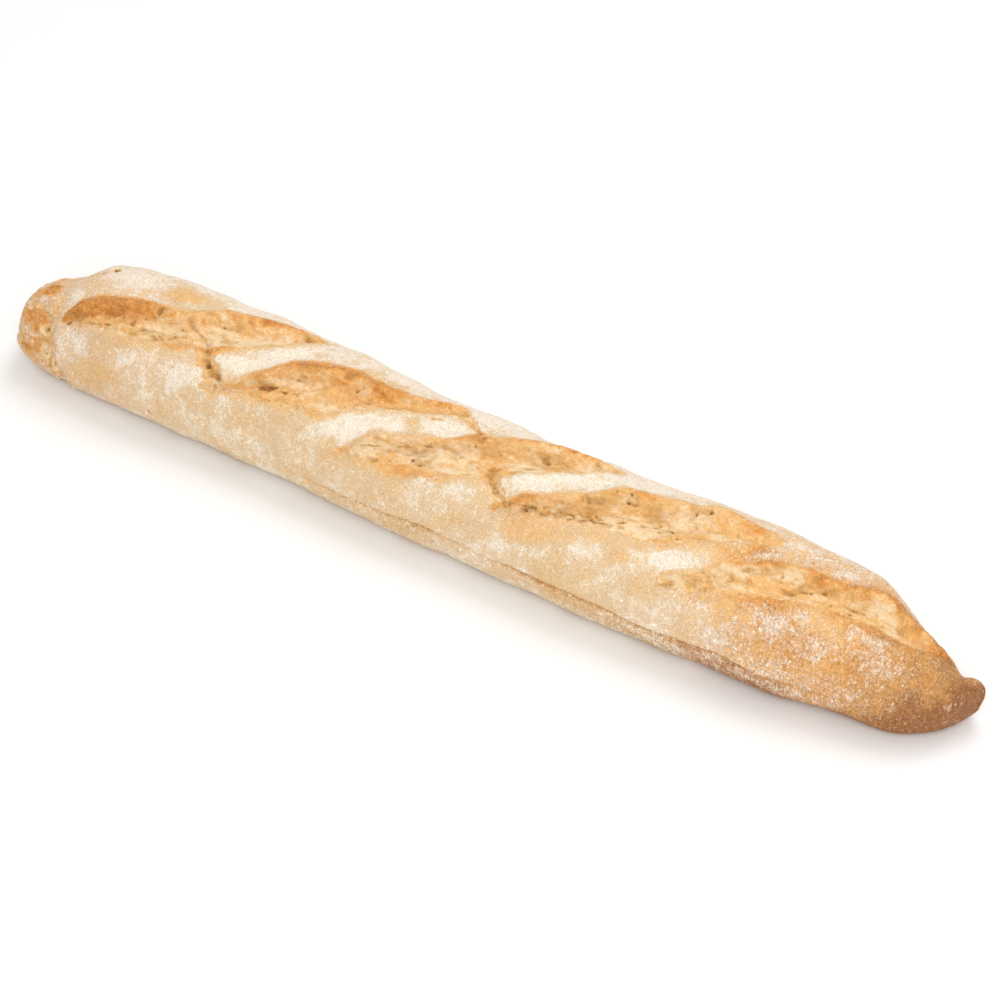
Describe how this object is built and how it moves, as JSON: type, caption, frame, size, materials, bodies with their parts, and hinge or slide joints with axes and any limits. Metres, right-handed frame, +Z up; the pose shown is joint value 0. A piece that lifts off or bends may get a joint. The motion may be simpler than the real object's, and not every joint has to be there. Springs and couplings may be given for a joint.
{
  "type": "baguette",
  "caption": "Rustic long loaf with slanting torn scores, raised ears, a floury crust, a folded blunt end, a pointed end and a flat underside.",
  "frame": {"origin": "centre of the bounding box, at the flat underside that the loaf rests on", "axes": "+X along the loaf from the blunt folded end to the pointed end, +Z up, -Y the side that the scores open towards"},
  "size_m": [0.52, 0.0812, 0.0576],
  "materials": {
    "crust": "dry baked crust dusted with flour: golden brown along the scores, cream in the torn crumb, off-white where the flour lies thick"
  },
  "bodies": {
    "root": {"loaf": "crust"}
  },
  "joints": []
}
